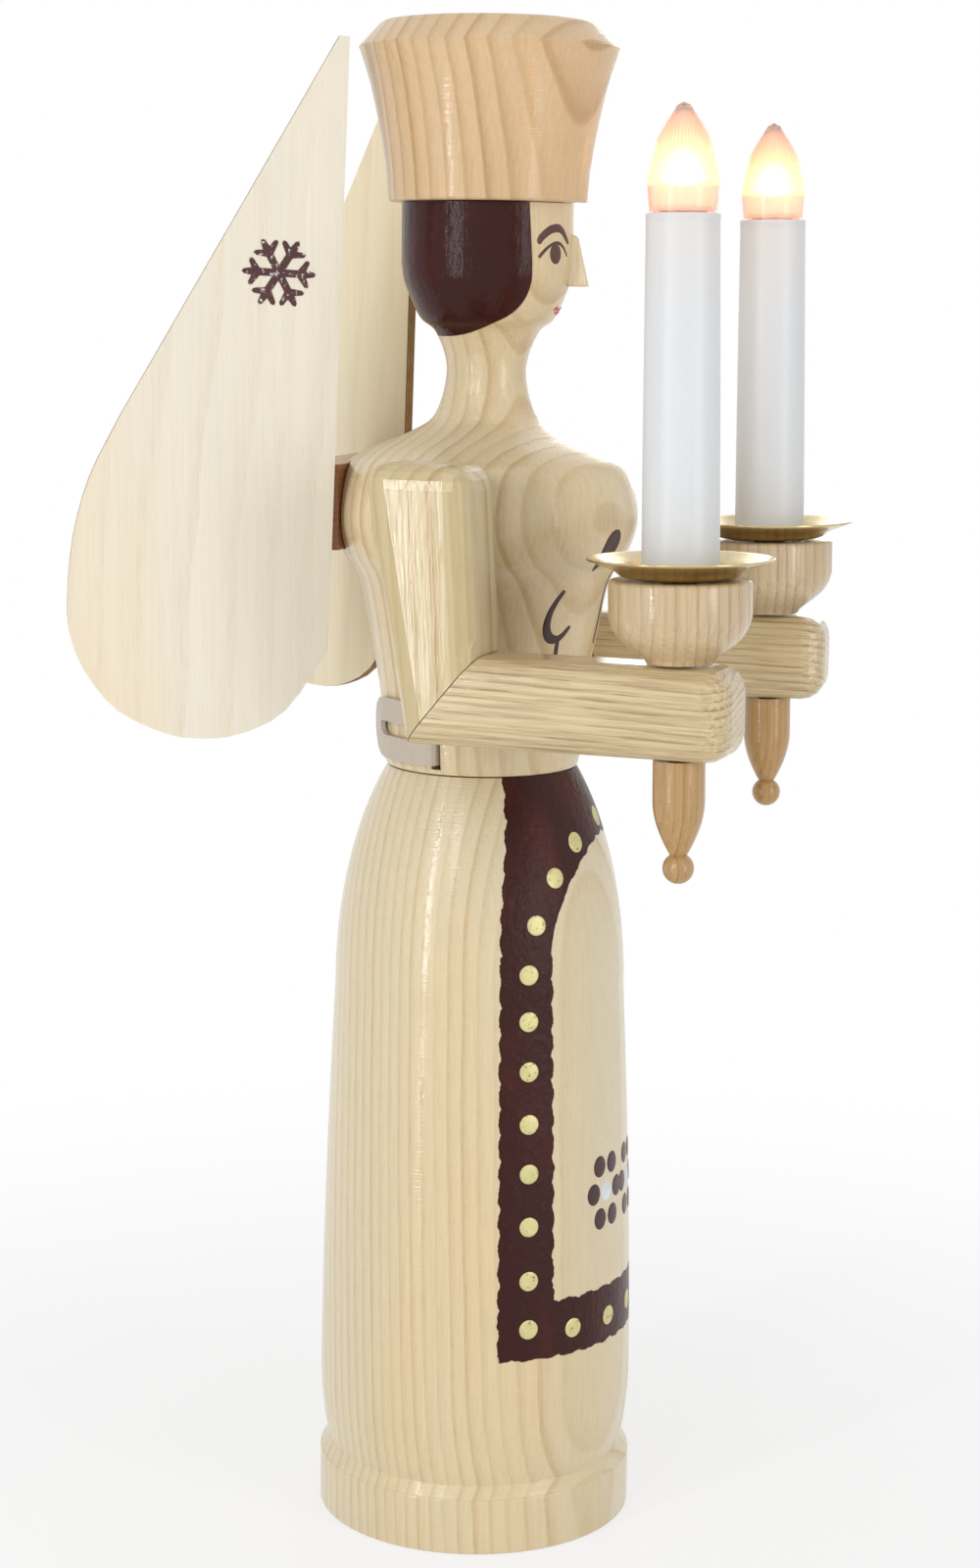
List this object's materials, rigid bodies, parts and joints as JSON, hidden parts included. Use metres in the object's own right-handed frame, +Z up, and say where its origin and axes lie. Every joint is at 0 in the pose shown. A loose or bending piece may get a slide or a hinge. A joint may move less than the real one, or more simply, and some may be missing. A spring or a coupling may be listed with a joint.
{
  "type": "light-up angel figure",
  "caption": "Turned wooden angel with plywood wings and a flared hat, arms held forward, with a ribbed electric candle on each hand.",
  "frame": {"origin": "middle of the round foot, on the surface that the figure stands on", "axes": "+Z up along the turned body, -Y the way the figure faces, +X towards its left hand"},
  "size_m": [0.1878, 0.2196, 0.4797],
  "materials": {
    "body_wood": "clear gloss lacquer over pale turned wood with dark red-brown paint",
    "hat_wood": "bare pale turned wood, satin",
    "arm_wood": "clear lacquer, satin",
    "cup_wood": "stained and lacquered, satin",
    "wing_plywood": "thin plywood with darker sawn edges",
    "bracket_wood": "stained, matt",
    "dowel_wood": "bare",
    "pan_brass": "polished, slightly tarnished",
    "sleeve_white": "smooth, satin",
    "holder_plastic": "moulded",
    "lamp_glass": "clear, ribbed, lit",
    "cap_brass": "rolled sheet",
    "filament": "glowing",
    "lead_white": "soft extruded sheath"
  },
  "bodies": {
    "root": {"skirt": "body_wood", "torso": "body_wood", "nose": "body_wood", "hat": "hat_wood", "upper_arm_right": "arm_wood", "upper_arm_left": "arm_wood", "forearm_right": "arm_wood", "forearm_left": "arm_wood", "shoulder_dowel_right": "dowel_wood", "shoulder_dowel_left": "dowel_wood", "elbow_dowel_right": "dowel_wood", "elbow_dowel_left": "dowel_wood", "candle_cup_right": "cup_wood", "candle_cup_left": "cup_wood", "hand_finial_right": "cup_wood", "hand_finial_left": "cup_wood", "drip_pan_right": "pan_brass", "drip_pan_left": "pan_brass", "candle_sleeve_right": "sleeve_white", "candle_sleeve_left": "sleeve_white", "lampholder_right": "holder_plastic", "lampholder_left": "holder_plastic", "bulb_cap_right": "cap_brass", "bulb_cap_left": "cap_brass", "bulb_envelope_right": "lamp_glass", "bulb_envelope_left": "lamp_glass", "filament_right": "filament", "filament_left": "filament", "wing_right": "wing_plywood", "wing_left": "wing_plywood", "wing_bracket": "bracket_wood", "lead_right": "lead_white", "lead_left": "lead_white", "lead_joint": "holder_plastic"}
  },
  "joints": []
}
